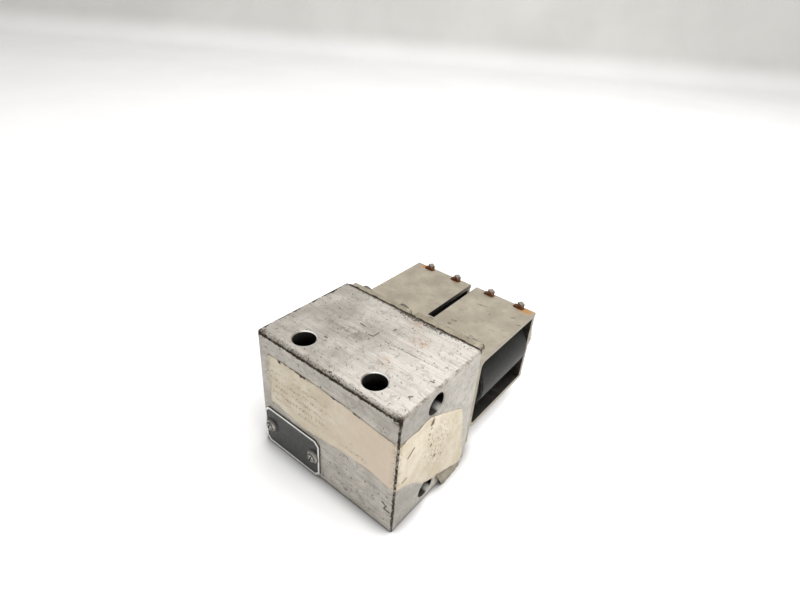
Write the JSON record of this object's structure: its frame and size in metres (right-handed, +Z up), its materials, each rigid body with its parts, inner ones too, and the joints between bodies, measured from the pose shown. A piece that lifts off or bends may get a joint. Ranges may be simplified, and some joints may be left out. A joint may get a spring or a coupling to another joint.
{
  "type": "twin solenoid directional valve",
  "caption": "Ported rectangular valve block with two spool valves, each pushed by a solenoid coil held in a shared bent steel yoke behind the block.",
  "frame": {"origin": "centre of the block's bottom face", "axes": "+X to the right along the front face, +Y from the front face back towards the solenoids, +Z up out of the outlet ports"},
  "size_m": [0.0802, 0.1298, 0.066],
  "materials": {
    "block": "milled, worn and stained",
    "plug": "turned",
    "nameplate": "satin, bare raised rim, no lettering",
    "nameplate_screw": "plated",
    "label": "aged paper, no lettering",
    "flange": "satin",
    "screw": "plated, dull",
    "yoke": "plated, stained, rust at the tabs",
    "rear_plate": "plated, rusty tabs",
    "coil": "moulded",
    "winding": "copper wire",
    "bobbin": "moulded",
    "terminal_block": "moulded",
    "blade": "tinned",
    "core_tube": "turned",
    "pole": "turned",
    "seal": "matt",
    "nut": "plated, fluted, grime in the flutes",
    "plunger": "ground",
    "pin": "ground",
    "spool": "ground",
    "spring": "drawn wire",
    "button": "turned"
  },
  "bodies": {
    "valve": {"valve_body": "block", "gallery_plugs": "plug", "nameplate": "nameplate", "nameplate_screws": "nameplate_screw", "rating_label": "label", "flange_left": "flange", "flange_right": "flange", "flange_screws": "screw", "solenoid_yoke": "yoke", "rear_plate_left": "rear_plate", "rear_plate_right": "rear_plate", "coil_left": "coil", "coil_right": "coil", "winding_left": "winding", "winding_right": "winding", "bobbin_left": "bobbin", "bobbin_right": "bobbin", "terminal_block_left": "terminal_block", "terminal_block_right": "terminal_block", "terminal_blades": "blade", "core_tube_left": "core_tube", "core_tube_right": "core_tube", "pole_piece_left": "pole", "pole_piece_right": "pole", "tube_seals": "seal", "ring_nut_left": "nut", "ring_nut_right": "nut", "return_spring_left": "spring", "return_spring_right": "spring"},
    "left_plunger_set": {"spool_left": "spool", "push_pin_left": "pin", "plunger_left": "plunger"},
    "right_plunger_set": {"spool_right": "spool", "push_pin_right": "pin", "plunger_right": "plunger"},
    "left_button": {"override_button_left": "button"},
    "right_button": {"override_button_right": "button"}
  },
  "joints": [
    {"name": "left_spool_slide", "type": "slide", "parent": "valve", "child": "left_plunger_set", "axis": [0, -1, 0], "range_m": [0, 0.003], "stiffness_N_per_m": 1200, "springref_m": -0.002, "deforming": ["return_spring_left"]},
    {"name": "left_button_slide", "type": "slide", "parent": "valve", "child": "left_button", "axis": [0, -1, 0], "range_m": [0, 0.003]},
    {"name": "right_spool_slide", "type": "slide", "parent": "valve", "child": "right_plunger_set", "axis": [0, -1, 0], "range_m": [0, 0.003], "stiffness_N_per_m": 1200, "springref_m": -0.002, "deforming": ["return_spring_right"]},
    {"name": "right_button_slide", "type": "slide", "parent": "valve", "child": "right_button", "axis": [0, -1, 0], "range_m": [0, 0.003]}
  ],
  "couplings": [
    {"joint": "left_button_slide", "follows": "left_spool_slide", "ratio": 1},
    {"joint": "right_button_slide", "follows": "right_spool_slide", "ratio": 1}
  ]
}
